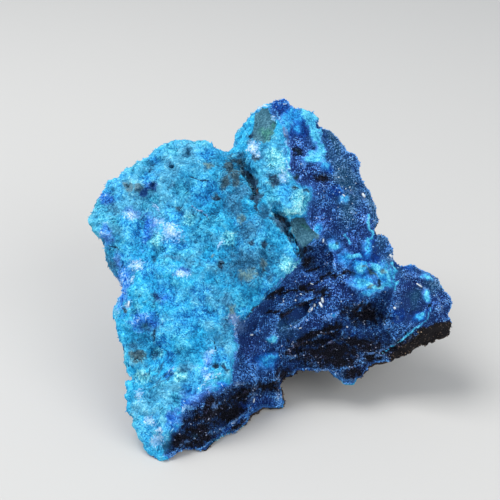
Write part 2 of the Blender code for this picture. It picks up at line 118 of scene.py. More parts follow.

# ovals: middle x and y, half width, half height and the turn in degrees where there is one. Each name is a
# covering, except fill (dust in cracks) and glintSpeckle (more crystals with painted glints)
ovals = {
    "white": [
        (159.5, 222, 4, 4), (170.5, 233, 8, 7, 20), (137, 265.5, 6, 4.5), (252.5, 147.5, 4.6, 5),
        (257, 154, 3, 3), (263, 105.5, 5, 2, -10), (274, 117, 2.4, 3.4, -20), (287, 142, 2, 3),
        (284, 176.5, 4, 5), (155, 208, 1.6, 5, -35), (132, 215.5, 7, 4), (181.5, 275, 6, 3),
        (129.3, 305.5, 1.8, 4.4, 12), (133.6, 280, 1.6, 4), (210.7, 351.5, 3.4, 2.8),
        (208, 376, 4, 2, -25), (138.6, 396, 3.4, 4.5), (148.5, 422, 4, 4), (157, 441, 5, 6, 20),
        (158.5, 430, 3.5, 3), (184, 407.5, 2.4, 3), (190, 407, 2.8, 3.4), (220, 244, 1.2, 4, 35),
    ],
    "pale": [
        (235, 320, 8, 6, 30), (239, 329, 6, 5), (240, 384.5, 4.4, 3.6), (254.4, 401, 1.2, 4, 15),
        (280, 397, 2, 5, -15), (214.5, 405.5, 2.6, 3.4), (391.7, 256.5, 3, 3.4), (365, 195, 2, 4, -20),
        (353, 191, 1.4, 3.4, -35), (395.3, 307, 2.4, 2.4), (397, 318, 2.6, 2),
        (420.7, 285.7, 4.4, 1.5, 35), (384, 355, 3, 2), (378.6, 356, 4, 2, -25),
        (283.5, 132.5, 1.2, 5, -25), (324.3, 240.7, 1.2, 3.4, -15), (188.6, 443, 2.4, 1.4),
        (183, 447, 2, 1.4), (238, 421, 5, 1.6, -30),
    ],
    "cyan": [
        (305, 115, 4.4, 6.5, -35), (312.5, 125, 4.2, 8, -25), (318, 136, 4, 9, -10), (320, 149, 3.6, 7),
        (308, 157, 5, 2.6), (313, 152, 4, 3.4), (353.6, 256.4, 6.5, 3, -12), (360.5, 268, 3.6, 3.4),
        (375.7, 268.6, 8, 3.6, 32), (389, 276, 3, 9, -10), (334, 247, 4.6, 3.4), (361, 281, 5, 4, -15),
        (425.7, 276.4, 5, 1.8, 5), (427, 296.5, 2.4, 4.4, 10), (272, 339.5, 5.4, 3.8, -10),
        (421, 314.5, 3.4, 1.6, -38), (312, 120, 7, 6), (316, 134, 4, 8), (321, 149, 5, 7),
        (311, 158, 9, 3.4),
    ],
    "bright": [
        (300, 201, 10, 10), (293, 211, 9, 4, -10), (275, 158, 10, 11), (286, 172, 5, 9),
        (287, 265, 7, 9, -30), (142, 376, 8, 8), (182, 376, 8, 6), (158, 353, 5, 6), (158, 240, 6, 6),
        (229, 240, 7, 8), (190, 220, 6, 6),
    ],
    "royal": [
        (281, 103.5, 10, 6, 10), (290, 111, 12, 8, 25), (299, 120, 8, 8), (303, 134, 5, 8),
        (338, 190, 9, 6), (298, 130, 9, 8), (281, 99, 9, 4), (334, 316, 5.5, 4.4), (419, 317, 8, 5, -38),
        (429, 310, 5, 3.6), (360, 262, 10, 12), (268, 360, 12, 9), (172, 424, 6, 8, -15),
        (270, 357, 6, 5), (223, 386, 6, 3.6, -15), (329, 168, 7, 5, 20), (264, 404.5, 11, 4, -5),
        (244, 408, 7, 5, -30), (354.3, 333, 3, 3), (407, 265, 10, 4, 25), (396, 316, 7, 7),
        (186, 402, 8, 5, -30), (147, 184.5, 6, 4.5), (123, 288, 5.5, 24, 4), (107, 199, 5, 6),
        (106, 231, 4.6, 7), (164, 296, 8, 6), (146, 322, 14, 9), (371, 237, 3.4, 14), (338, 257, 6, 5),
        (368, 258, 12, 8), (310, 373, 14, 4, 8), (145, 232, 3.4, 15, 12), (168, 372, 7, 3.4, -45),
    ],
    "violet": [
        (297, 150, 10, 11), (309, 175, 13, 9, 10), (294, 162, 6, 6), (322, 184, 10, 7), (329, 254, 12, 9),
        (310, 283, 20, 10, -10), (340, 290, 22, 12), (366, 222, 9, 14), (412, 284, 8, 6),
        (430, 303, 9, 7), (322, 222, 14, 12), (352, 240, 10, 10), (250, 345, 9, 9), (262, 403, 10, 4),
        (361, 372, 13, 8), (203, 395, 13, 6, -25), (200, 372, 7, 5), (317, 323, 24, 6, -18),
        (442, 305, 8, 14), (208, 360, 4, 6),
    ],
    # the crust's own near-black, and painted shade in recesses, grooves and under overhanging edges
    "blackAndShade": [
        (304, 250, 8, 4, -20), (308, 261, 6, 6, -10), (364, 314, 20, 10, 8), (293, 350, 7, 11),
        (330, 352, 44, 16, -5), (303, 345, 14, 5, -20), (370, 345, 18, 10), (215, 412, 32, 13, -27),
        (243, 396, 24, 9, -24), (180, 441, 14, 9, -30), (200, 432, 24, 8, -27), (270, 388, 16, 6, -5),
        (297, 151, 3.4, 3.4), (321, 176, 8, 4, 15), (396, 347, 22, 8, -30), (340, 361, 30, 7, 5),
        (360, 340, 26, 6), (374, 358, 12, 7, -10), (210, 405, 9, 4, -25), (206, 440, 16, 6, -28),
        (352, 375, 12, 6), (212, 399, 9, 6, -25), (384, 350, 12, 5, -30), (370, 353, 14, 5, -20),
        (304, 287, 10, 4, -12), (322, 292, 7, 4, -10), (232, 414, 20, 7, -27), (200, 440, 22, 5, -28),
        (284, 376, 9, 8), (354, 371, 10, 7), (240, 428, 14, 4, -38),
    ],
    "pit": [(143.4, 192.3, 4.6, 4.4), (153, 186, 4.8, 4.8), (156.6, 297, 2.8, 2.4)],
    "bud": [(127, 186.4, 4.4, 4.2), (137.5, 187.4, 4.2, 3.8)],
    "brown": [
        (231, 167, 5, 11, 8), (235, 179, 6, 9), (241, 164, 4, 4), (243, 172, 3, 4, -30),
        (255, 188, 5, 11, -8), (274.5, 180, 4.4, 5.6, 10), (254, 158, 3, 5), (216.5, 195, 3.6, 4),
        (262, 266, 3.4, 8), (138.6, 355, 5.6, 5), (294, 188.5, 2.6, 2.4), (126.8, 311, 2, 2),
        (296, 176, 3, 3), (225, 183, 5, 4.6),
    ],
    "umber": [
        (306, 343, 8, 3, -20), (331, 335, 10, 2.4, -25), (282, 294, 3, 2, -25), (199, 420, 8, 2.4, -30),
        (366, 312, 12, 6, 10),
    ],
    "rust": [
        (440, 328.5, 10, 3.2, -22), (425, 337, 5, 2.2, -35), (411, 346, 5, 2, -35),
        (256.5, 190, 1.4, 4, -10), (281, 220, 1.6, 4, -35), (399, 354, 4, 2, -20),
    ],
    # dark fill of the holes and pits, partly painted shade inside them
    "holeAndShade": [
        (217, 195, 2.4, 2.8, 20), (178, 209.5, 3, 3.4), (274.5, 179, 3.8, 4.6, 10), (221, 265, 3.2, 3.2),
        (215.5, 366, 3.6, 3), (297.5, 151, 2.6, 2.6), (379.5, 283, 3, 4.6, 10), (428, 305, 2.6, 2.4),
        (337, 243, 2, 2.6), (253.5, 156, 2, 3.4), (306, 190.5, 1.8, 3.8, -30), (252, 242, 3, 3),
        (264.5, 244, 2.8, 3.6), (195.7, 437, 2.6, 2.4), (224, 368, 1.4, 5, -25), (250.5, 136, 1.6, 3, 25),
    ],
    "smudge": [
        (150, 167, 4, 3.4), (170.5, 166, 7, 4.2, 30), (188, 151.5, 4.6, 6.5), (172, 183, 4, 3),
        (231, 168, 3.6, 8.5, 5), (234, 179, 5, 8), (224.5, 183, 6, 5.6), (238.6, 155, 3, 5, 10),
        (154, 259.5, 3, 2.4), (173.5, 258.5, 6, 3), (146.4, 327, 6, 5), (156.4, 297, 5, 4.6),
        (130.7, 347, 4.5, 4), (247, 262, 20, 16), (262, 268, 4.6, 9), (242.9, 275, 8, 6),
        (271.5, 278, 4, 5), (155, 334, 2, 8, 5), (187, 368, 6, 4), (113, 208, 7, 5, 30),
        (110.5, 263, 5, 7, -20), (207, 168, 5, 4), (243, 227, 3, 7), (293.6, 188.6, 3, 2.6),
        (233, 205, 9, 12, -20), (250, 225, 8, 6), (156.5, 355, 3, 4, -20), (167, 446, 4, 6),
        (270, 175, 4, 3), (240, 262, 9, 8), (226, 300, 5, 8, 20), (224, 326, 4, 7), (241, 193, 9, 9),
        (248, 233, 9, 11), (262, 212, 6, 8), (250, 140, 3.4, 4),
    ],
    "olive": [
        (230.5, 310.5, 4.4, 5.6), (139.5, 356, 5.5, 4), (242, 218, 3.8, 4), (246, 274, 8, 5),
        (263, 265, 3, 6), (213.6, 255.7, 2, 1.6), (383, 270, 2.6, 2, 30), (208, 166, 4, 3),
        (126.4, 311.4, 1.8, 1.8), (317, 236, 3, 2, 30),
    ],
    "frost": [
        (140, 195, 50, 36, -30), (185, 155, 26, 16), (276, 165, 18, 26, -15), (295, 198, 16, 14, 10),
        (188, 216, 9, 8), (168, 242, 10, 8), (160, 420, 12, 26, -10), (225, 345, 14, 18),
        (175, 392, 30, 14, -20), (288, 266, 10, 14, -30),
    ],
    # darker teal: painted shade, mostly beside the crease and the slot
    "deepShade": [
        (254, 262, 30, 38), (255, 234, 16, 24, -10), (231, 196, 14, 32, -15), (250, 164, 12, 16),
        (144, 336, 14, 16), (228, 316, 12, 26, -10), (206, 312, 10, 9), (186, 358, 10, 9),
        (253, 240, 11, 12), (203, 237, 9, 9), (190, 178, 12, 9), (122, 272, 10, 18),
        (110, 262, 6, 12, -20),
    ],
    "azure": [
        (134, 232, 8.5, 13, 10), (148, 178, 8, 4), (294, 116, 8, 8, 30), (286, 122, 5, 9),
        (298, 128, 4, 6), (268, 362, 7, 7), (334, 315, 2.4, 2), (346, 200, 5, 3.6), (163, 286, 9, 7),
        (334, 246, 7, 6), (346, 258, 6, 7), (362, 281, 12, 8.5, -15), (318, 158, 8, 4.6, 10),
        (325.5, 165, 4, 4), (373, 292, 12, 4, -10), (360, 267, 8, 6), (384, 274, 10, 12, -10),
        (368, 248, 4, 8), (426.5, 296, 3.4, 6.5, 10), (419.5, 316, 6, 3, -38), (425.7, 276.4, 7, 2.6, 5),
        (272, 357, 4, 4), (319, 229, 4, 6, 20), (205, 155, 10, 7), (182, 320, 12, 16), (200, 292, 9, 9),
        (162, 338, 8, 9), (268, 363, 4, 4),
    ],
    # violet-blue; along the light face's left rim it is painted shade where the face turns away
    "duskShade": [
        (107, 198, 6, 6), (108, 238, 6, 8), (124, 285, 6, 20, 4), (120, 262, 6, 8), (152, 225, 5, 8),
        (133, 213, 8, 5, 20), (181, 272, 8, 4), (192, 391, 10, 5, -25), (176, 420, 8, 10),
        (324, 230, 8, 7, 30),
    ],
    # dull teal: painted shade on facets turned from the light
    "tealShade": [(170, 250, 14, 8), (200, 232, 10, 12), (118, 222, 8, 6, 30)],
    "still": [(424, 292, 24, 30, 10)],
    "slate": [
        (438, 284, 10, 9, 30), (416, 297, 6, 9), (292, 328, 16, 8, -15), (346, 180, 12, 34, -22),
        (350, 206, 10, 18), (376, 214, 8, 30, -12), (393, 262, 9, 12, 20), (334, 140, 5, 20, -25),
        (408, 262, 12, 3, 30),
    ],
    "green": [(266, 134, 7, 5.5), (273.5, 124, 2, 6), (305, 226.5, 3.4, 1.8, 25)],
    "fill": [(317, 262, 17, 17), (366, 314, 22, 13, 8), (280, 218, 7, 8, -30), (290, 236, 6, 14, -25)],
    # more crystals with painted glints here
    "glintSpeckle": [
        (291, 352, 8, 14), (298, 366, 16, 6), (234, 322, 9, 7), (205, 384, 18, 7, -25),
        (187, 405, 9, 5, -25), (284, 299, 22, 7, -25), (315, 338, 22, 6, -20), (364, 314, 26, 14),
        (318, 262, 14, 12), (250, 394, 12, 7), (205, 428, 24, 7, -25), (330, 350, 40, 10),
        (394, 264, 8, 8, 20), (347, 196, 12, 10), (157, 437, 9, 12), (281, 395, 5, 6),
    ],
}

# strokes: half width and the points that they pass
strokes = {
    # the slot and the crease: painted shade lines along them
    "holeAndShade": [
        (1.8, [(242.5, 169), (247, 173.5)]),
        (3.4, [(246, 174), (251, 179)]),
        (5.0, [(252.5, 180), (255.5, 187), (256.5, 196)]),
        (1.0, [(256, 198), (255, 206), (256, 214)]),
        (6.0, [(277, 216), (280, 219), (284.5, 226)]),
        (3.0, [(284, 227), (290, 237), (297, 248), (300, 256)]),
        (0.8, [(191, 178), (197, 180.5), (207.5, 182)]),
        (0.8, [(109, 246.5), (119, 250)]),
        (0.7, [(212, 341), (214, 345), (215.5, 349.5)]),
        (0.6, [(192, 207), (199, 212.5), (209, 219)]),
        (0.6, [(155, 330), (154.5, 340)]),
    ],
    "pale": [
        # the first two, along the lower rims, are painted highlights; the others are pale streaks of the
        # mineral
        (0.8, [(352, 361.5), (378, 351), (396, 343)]),
        (0.8, [(303, 374.5), (312, 371.5), (327, 370), (339, 376), (347, 382)]),
        (0.7, [(192, 205.5), (199, 211), (209, 217.5)]),
        (0.7, [(285, 129), (287.5, 137), (288, 144)]),
        (0.6, [(417, 282), (424, 286), (429, 291)]),
        (0.5, [(439, 296), (445, 304), (447, 312)]),
        (0.5, [(401, 276), (409, 280), (413, 287)]),
    ],
    # painted shade along the grooves and under the light face's overhanging edge
    "blackAndShade": [
        (2.8, [(284, 317), (296, 308), (306, 303)]),
        (1.5, [(310, 301), (318, 298), (330, 296)]),
        (1.5, [(246, 317), (259, 306)]),
        (2.4, [(264, 301), (273, 295), (283, 289)]),
        (1.4, [(267, 314), (281, 311)]),
        (3.0, [(299, 340), (313, 334), (326, 331), (341, 325)]),
        (1.6, [(309, 270), (318, 267)]),
        (1.6, [(334, 277), (346, 271), (357, 273)]),
        (1.4, [(316, 281), (330, 275)]),
        (1.5, [(286, 293), (300, 288), (316, 289)]),
    ],
    "royal": [
        (0.9, [(172, 458), (190, 451), (208, 443), (240, 423), (262, 407)]),
        (1.2, [(347, 232), (351, 248), (358.6, 250.7), (366, 254)]),
    ],
    "cyan": [
        (0.9, [(400, 340), (410, 334), (421, 326), (428, 316), (431, 309)]),
        (0.5, [(384, 352), (400, 340)]),
        (2.2, [(368, 284), (380, 289), (390, 284)]),
        (1.3, [(285, 145), (288, 156), (291, 168)]),
        (1.0, [(347, 232), (350, 244)]),
        (1.4, [(392, 262), (395, 275), (396, 288)]),
        (1.2, [(369, 214), (368.5, 225), (370.5, 237), (366.5, 251)]),
    ],
    "white": [
        (0.6, [(222, 373), (210, 379), (199, 387)]),
        (0.9, [(277, 109), (280, 118)]),
    ],
    "smudge": [
        (0.9, [(150, 392), (157, 384), (166, 372)]),
        (0.8, [(150, 383), (159, 372), (164, 362)]),
        (0.7, [(140, 378), (149, 374), (158, 366)]),
        (0.7, [(160, 384), (167, 377), (171, 369)]),
    ],
    "olive": [(0.9, [(364, 266.5), (371, 273), (378, 278), (381, 285)]), (1.0, [(368, 287), (374, 285)])],
}

fibreFan = {  # fibres that spread from one root
    "root": (146, 390),
    "zones": [(160, 374, 15, 12, -30), (150, 368, 9, 7), (168, 388, 12, 6, -20)],
    "strands": 4.5,  # per radian
    "length": 30,  # over which a strand changes
}

hiddenSides = {  # coverings on the sides turned away from the camera
    "rim": (11.0, 7.0),  # mm under the light face down to which its own colours reach, and their fading
    "rimRagged": (5.0, 6.0),  # mm by which that line rises and falls, and over what width
    "darkShare": 0.66,
    "darkWidth": 17.0,
    "matrixShare": 0.44,
    "matrixWidth": 13.0,
    "matrixFull": 0.8,
    "matrixUnder": (0.55, 0.35),  # level of the normal under which more matrix shows, and its share
    "royalShare": 0.36,
    "royalRim": 0.3,  # how much more of it there is beside the light face
    "cyanShare": 0.27,
    "patchWidth": 7.0,
    "sharpness": 0.9,
    "crustUnderCoats": 0.8,  # share by which cyan and azure coats, and the painted teal shade, smooth the crust under them
}

lightTints = [  # covering, width in mm and share of its patches on the light face
    # the tealShade patches are painted shade strewn at random over the light face
    ("frost", 5.0, 0.30), ("azure", 6.0, 0.30), ("tealShade", 3.2, 0.24),
]


def seenAt(points):
    # where points show in the picture: half the side plus focal length times sideways over depth, and
    # half the side minus focal length times rise over depth
    tilt = math.radians(camera["pitch"])
    focal = camera["lens"] / camera["sensor"] * pictureSide
    away = points - np.array(camera["place"])
    depth = away @ (0, math.cos(tilt), -math.sin(tilt))
    rise = away @ (0, math.sin(tilt), math.cos(tilt))
    half = pictureSide / 2
    return np.column_stack((half + focal * away[:, 0] / depth, half - focal * rise / depth))


scramble = {  # large odd numbers that mix a cell's indices and the seed, and the bits that are kept
    "indices": (73856093, 19349663, 83492791),
    "seed": (97, 13),
    "rounds": ((2654435761, 15), (2246822519, 13)),
    "kept": 0xFFFFFF,
}


def cellNumber(cells, seed):
    # a repeatable number from 0 to 1 for each whole-numbered cell: its indices times their factors, mixed by
    # exclusive or, with the seed added, then multiplied and shifted down onto itself in rounds
    columns = cells.astype(np.int64).astype(np.uint64).T
    x, y, z = (column * np.uint64(factor) for column, factor in zip(columns, scramble["indices"]))
    factor, shift = scramble["seed"]
    mixed = (x ^ y ^ z) + np.uint64(seed * factor + shift)
    for factor, shift in scramble["rounds"]:
        mixed *= np.uint64(factor)
        mixed ^= mixed >> np.uint64(shift)
    return (mixed & np.uint64(scramble["kept"])).astype(float) / scramble["kept"]


def smoothNoise(points, width, seed):
    # noise from -1 to 1: the numbers of a lattice's eight corners blended by s * s * (3 - 2 s)
    at = points / width
    base = np.floor(at)
    s = at - base
    s = s * s * (3 - 2 * s)
    total = np.zeros(len(at))
    for corner in np.ndindex(2, 2, 2):
        total += np.where(corner, s, 1 - s).prod(axis=1) * cellNumber(base + corner, seed)
    return 2 * total - 1


def layeredNoise(points, width, seed, layers=3):
    # each further layer is half as wide and half as high
    return sum(smoothNoise(points, width / 2 ** n, seed + n) / 2 ** n for n in range(layers))


def domes(points, width, seed):
    # rounded buds: half a cell minus the distance to the nearest of the jittered lattice's points
    at = points / width
    base = np.floor(at)
    nearest = np.full(len(at), 9.0)
    for step in np.ndindex(3, 3, 3):
        cell = base + step - 1
        middle = cell + np.column_stack([cellNumber(cell, seed + axis) for axis in range(3)])
        nearest = np.minimum(nearest, ((at - middle) ** 2).sum(axis=1))
    return 0.5 - np.sqrt(nearest)


def grown(values, kind):
    # the values times their gain plus their shift, held from 0 to 1
    gain, shift = growth[kind]
    return np.clip(gain * values + shift, 0, 1)


def oval(seen, mark):
    # 1 at the middle, 0.5 at the rim and 0 at twice the rim
    x, y, halfWidth, halfHeight, turn = (*mark, 0)[:5]
    c, s = math.cos(math.radians(turn)), math.sin(math.radians(turn))
    dx, dy = seen[:, 0] - x, seen[:, 1] - y
    reach = np.hypot((dx * c + dy * s) / halfWidth, (dy * c - dx * s) / halfHeight)
    return np.clip(1 - reach / 2, 0, 1)


def distanceTo(seen, chain, closed=False):
    # shortest distance to the chain's straight pieces
    corners = np.array(chain, float)
    ends = np.roll(corners, -1, axis=0)
    if not closed:
        corners, ends = corners[:-1], ends[:-1]
    best = np.full(len(seen), 1e9)
    for a, b in zip(corners, ends):
        along = np.clip((seen - a) @ (b - a) / ((b - a) @ (b - a)), 0, 1)
        best = np.minimum(best, np.hypot(*(seen - a - along[:, None] * (b - a)).T))
    return best


def area(seen, loop, softness):
    # signed distance to the loop over its softness, from 0 outside through 0.5 on the line to 1 inside
    corners = np.array(loop, float)
    inside = np.zeros(len(seen), bool)
    x, y = seen.T
    for a, b in zip(corners, np.roll(corners, -1, axis=0)):
        crosses = (a[1] > y) != (b[1] > y)
        rise = b[1] - a[1] if b[1] != a[1] else 1e-9
        inside ^= crosses & (x < a[0] + (y - a[1]) * (b[0] - a[0]) / rise)
    signed = distanceTo(seen, loop, closed=True) * np.where(inside, 1, -1)
    return np.clip(0.5 + signed / softness / 2, 0, 1)


def meshArrays(mesh):
    points = np.empty(len(mesh.vertices) * 3)
    mesh.vertices.foreach_get("co", points)
    normals = np.empty(len(mesh.vertices) * 3, np.float32)
    mesh.vertex_normals.foreach_get("vector", normals)
    return points.reshape(-1, 3), normals.reshape(-1, 3).astype(float)


def newMesh(name, points, faces):
    # faces holds the corner numbers of equal-sided faces, one face a row
    mesh = bpy.data.meshes.new(name)
    mesh.vertices.add(len(points))
    mesh.vertices.foreach_set("co", points.ravel())
    mesh.loops.add(faces.size)
    mesh.loops.foreach_set("vertex_index", faces.ravel())
    mesh.polygons.add(len(faces))
    mesh.polygons.foreach_set("loop_start", np.arange(0, faces.size, faces.shape[1]))
    mesh.update(calc_edges=True)
    return mesh


def linked(name, mesh):
    piece = bpy.data.objects.new(name, mesh)
    bpy.context.scene.collection.objects.link(piece)
    return piece


def keepMask(mesh, name, values):
    mesh.attributes.new(name, "FLOAT", "POINT").data.foreach_set("value", values.astype(np.float32))


def settle(piece):
    # the modifiers made part of the mesh
    graph = bpy.context.evaluated_depsgraph_get()
    before = piece.data
    piece.data = bpy.data.meshes.new_from_object(piece.evaluated_get(graph))
    piece.modifiers.clear()
    bpy.data.meshes.remove(before)


def turnedTo(points, normals):
    # cosine of the angle between the normals and the way to the camera
    toCamera = np.array(camera["place"]) / mm - points
    return (normals * toCamera).sum(axis=1) / np.linalg.norm(toCamera, axis=1)


def evenSkin():
    # the block's own surface on an even grid fine enough for its relief, worked in millimetres
    shape = bmesh.new()
    shape.from_mesh(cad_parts["azurite_block"].data)
    bmesh.ops.remove_doubles(shape, verts=shape.verts, dist=skin["weld"])
    bmesh.ops.scale(shape, vec=(1 / mm,) * 3, verts=shape.verts)
    mesh = bpy.data.meshes.new("evenSkin")
    shape.to_mesh(mesh)
    shape.free()
    piece = linked("azuriteSkin", mesh)
    grid = piece.modifiers.new("grid", "REMESH")
    grid.mode = "VOXEL"
    grid.voxel_size = skin["step"]
    soften = piece.modifiers.new("soften", "SMOOTH")
    soften.factor, soften.iterations = skin["smoothing"]
    settle(piece)
    points, normals = meshArrays(piece.data)
    away = np.flatnonzero(turnedTo(points, normals) < skin["thinFrom"])
    group = piece.vertex_groups.new(name="away")
    group.add(away.tolist(), 1, "REPLACE")
    thin = piece.modifiers.new("thin", "DECIMATE")
    thin.vertex_group = group.name
    thin.ratio = skin["triangles"] / (2 * len(piece.data.polygons))
    settle(piece)
    piece.vertex_groups.clear()
    return piece


def frayed(points):
    # where points show in the picture, shifted a little by noise, so that every mark has a ragged outline
    seen = seenAt(points * mm)
    for n, (reach, width) in enumerate(skin["fray"]):
        shifts = [smoothNoise(points, width, skin["seed"] + 71 + 2 * n + axis) for axis in range(2)]
        seen += reach * np.column_stack(shifts)
    return seen


def marked(seen):
    # the share of each covering: the largest that its ovals, strokes and areas give
    masks = {}
    for name, marks in ovals.items():
        masks[name] = np.max([oval(seen, mark) for mark in marks], axis=0)
    for name, marks in strokes.items():
        for halfWidth, chain in marks:
            masks[name] = np.maximum(masks[name], np.clip(1 - distanceTo(seen, chain) / halfWidth / 2, 0, 1))
    masks["grey"] = np.max([area(seen, loop, lineSoftness["grey"]) for loop in greyPatches], axis=0)
    masks["matrix"] = area(seen, matrixZone, lineSoftness["matrix"])
    return masks


def combing(seen, facing):
    # where the fan's fibres lie, and 0.5 plus noise that runs along them: the noise reads the angle and the
    # distance about the fan's root
    zone = np.max([oval(seen, zone) for zone in fibreFan["zones"]], axis=0)
    fibre = grown(zone, "full") * facing
    away = seen - fibreFan["root"]
    turns, lengths = np.arctan2(*away.T) * fibreFan["strands"], np.hypot(*away.T) / fibreFan["length"]
    strands = smoothNoise(np.column_stack((turns, lengths, 0 * zone)), 1, skin["seed"] + 11)
    return fibre, 0.5 + 0.5 * fibre * strands


def coverings(points, normals):
    # shares from 0 to 1 of each covering: marks as seen from the camera, and noise on the hidden sides
    side, seed = hiddenSides, skin["seed"]
    seen = frayed(points)
    marksStart, marksRange = skin["marksFade"]
    facing = np.clip((turnedTo(points, normals) - marksStart) / marksRange, 0, 1)
    hidden = 1 - facing
    masks = {name: mask * facing for name, mask in marked(seen).items()}

    def patches(width, share, number):
        noise = layeredNoise(points, width, seed + number)
        return np.clip(0.5 + side["sharpness"] * (noise + 2 * share - 1), 0, 1)

    lit = area(seen, lightFace, lineSoftness["light"])
    lean = math.radians(lightPlane["lean"])
    depth = (np.array(lightPlane["point"]) - points) @ (0, -math.sin(lean), math.cos(lean))
    depth += side["rimRagged"][0] * layeredNoise(points, side["rimRagged"][1], seed + 81)
    rim = lit * np.clip(0.5 + (side["rim"][0] - depth) / side["rim"][1], 0, 1)
    masks["dark"] = facing * (1 - lit)
    masks["dark"] += hidden * (1 - rim) * patches(side["darkWidth"], side["darkShare"], 31)
    coated = grown(np.max([masks[name] for name in ("cyan", "azure", "tealShade")], axis=0), "coating")
    masks["rough"] = masks["dark"] * (1 - side["crustUnderCoats"] * coated)
    underLevel, underShare = side["matrixUnder"]
    under = underShare * np.clip(underLevel - normals[:, 2], 0, 1)
    bare = (patches(side["matrixWidth"], side["matrixShare"], 41) * side["matrixFull"] + under) * (1 - rim)
    masks["matrix"] = np.maximum(masks["matrix"], np.clip(hidden * bare, 0, 1))
    shares = {"royal": side["royalShare"] + side["royalRim"] * rim, "cyan": side["cyanShare"] * (1 - rim)}
    for n, (name, share) in enumerate(shares.items()):
        masks[name] = np.maximum(masks[name], hidden * patches(side["patchWidth"], share, 51 + 10 * n))
    even = lit * facing * (1 - masks["bright"])
    for n, (name, width, share) in enumerate(lightTints):
        masks[name] = np.maximum(masks[name], even * patches(width, share, 101 + 10 * n))
    masks["fibre"], masks["strand"] = combing(seen, facing)
    return masks


def reliefOf(points, masks):
    # millimetres along the normal: swells, grains, crests and stepped plates on the light face, domes
    # with smaller buds on the dark crust, drawn in at holes and on the smooth grey patches
    def swelling(kind, number, pattern, **settings):
        height, width = skin[kind]
        return height, pattern(points, width, skin["seed"] + number, **settings)

    height, noise = swelling("lightPlates", 3, smoothNoise)
    light = height * np.tanh(skin["plateSteepness"] * noise)
    height, noise = swelling("lightSwells", 5, layeredNoise, layers=2)
    light = light + height * noise
    height, noise = swelling("lightGrains", 8, layeredNoise, layers=2)
    light = light + height * noise
    height, noise = swelling("lightCrests", 26, smoothNoise)
    light = light + height * (skin["crestLevel"] - np.abs(noise))
    light = light + skin["fibres"] * (2 * masks["strand"] - 1)
    height, noise = swelling("darkDomes", 14, domes)
    crust = height * (1 - skin["stillDomes"] * masks["still"]) * noise
    height, noise = swelling("darkSwells", 16, layeredNoise, layers=2)
    crust += height * noise
    height, noise = swelling("darkBuds", 18, domes)
    crust += height * noise - skin["darkInset"]
    height, noise = swelling("matrixTeeth", 22, smoothNoise)
    crust = crust * (1 - masks["matrix"]) + height * np.abs(noise) * masks["matrix"]
    rough = masks["rough"]
    height = light * (1 - rough) + crust * rough
    height += skin["lightCrust"] * (grown(rough, "crustStep") - 1)
    smooth = grown(masks["grey"], "patch")
    height = height * (1 - skin["patchSmoothness"] * smooth) - skin["patchLevel"] * smooth
    return height - skin["holeDepth"] * grown(np.maximum(masks["holeAndShade"], masks["pit"]), "holeAndShade")


def hollowness(mesh, points, normals, steps):
    # how far the evened-out skin lies above each point: more than 0 in hollows, less on ridges
    ends = np.empty(len(mesh.edges) * 2, np.int64)
    mesh.edges.foreach_get("vertices", ends)
    one, other = np.concatenate((ends.reshape(-1, 2), ends.reshape(-1, 2)[:, ::-1])).T
    neighbours = np.bincount(one, minlength=len(points))[:, None]
    evened = points
    for _ in range(steps):
        sums = [np.bincount(one, evened[other, axis], len(points)) for axis in range(3)]
        evened = np.column_stack(sums) / neighbours
    return ((evened - points) * normals).sum(axis=1)


def makeSkin():
    # the even skin moved along its normals by its relief, with dust in the cracks
    piece = evenSkin()
    points, normals = meshArrays(piece.data)
    masks = coverings(points, normals)
    height = reliefOf(points, masks)
    fillShare, fillDepth = skin["filled"]
    cracks = grown(np.max([masks[name] for name in ("holeAndShade", "brown", "fill")], axis=0), "full")
    cracks *= np.clip(hollowness(piece.data, points, normals, skin["hollowSteps"]), 0, fillDepth)
    placed = points + normals * (height + fillShare * cracks)[:, None]
    placed[:, 2] = np.maximum(placed[:, 2], 0)
    # painted shade and highlight: places lying hollow get a darker tone and ridges a paler one
    reach, steepness = skin["hollowShadeTone"]
    hollowShade = hollowness(piece.data, placed, normals, skin["hollowSteps"])
    masks["hollowShade"] = 0.5 + reach * np.tanh(steepness * hollowShade)
    piece.data.vertices.foreach_set("co", (placed * mm).ravel())
    piece.data.update()
    for name in (*coveringNames, "rough", "strand", "hollowShade"):
        keepMask(piece.data, name, masks[name])
    piece.data.polygons.foreach_set("use_smooth", np.ones(len(piece.data.polygons), bool))
    print("skin", len(piece.data.vertices), "points", len(piece.data.polygons), "faces")
    return piece, placed, masks


def tone(red, green, blue):
    # a colour given in 255ths, as the linear light that the shader takes
    parts = np.array((red, green, blue)) / 255
    linear = np.where(parts <= 0.04045, parts / 12.92, ((parts + 0.055) / 1.055) ** 2.4)
    return (*linear, 1)
